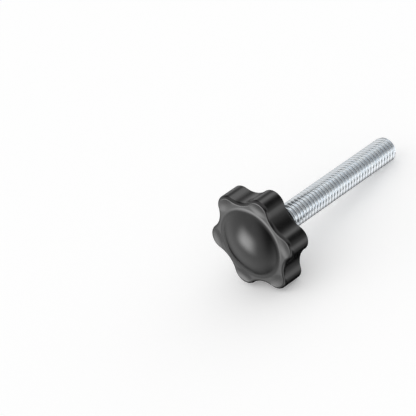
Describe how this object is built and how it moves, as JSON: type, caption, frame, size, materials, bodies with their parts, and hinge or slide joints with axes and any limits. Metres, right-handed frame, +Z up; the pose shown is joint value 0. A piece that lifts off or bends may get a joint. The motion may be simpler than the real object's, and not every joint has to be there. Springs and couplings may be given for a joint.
{
  "type": "star knob",
  "caption": "Black plastic star knob with a domed front, hollow back and central hub on a long zinc-plated threaded stud, for clamping by hand.",
  "frame": {"origin": "on the surface that the knob lies on, under the middle of its box", "axes": "+X along the knob, from the head towards the stud's tip; +Z up; the stud dips 10.5 degrees towards its tip"},
  "size_m": [0.0502, 0.024, 0.0221],
  "materials": {
    "head_plastic": "black moulded plastic with a satin sheen",
    "plated_steel": "bright zinc plating over a rolled thread"
  },
  "bodies": {
    "root": {"knob_head": "head_plastic", "threaded_stud": "plated_steel"}
  },
  "joints": []
}
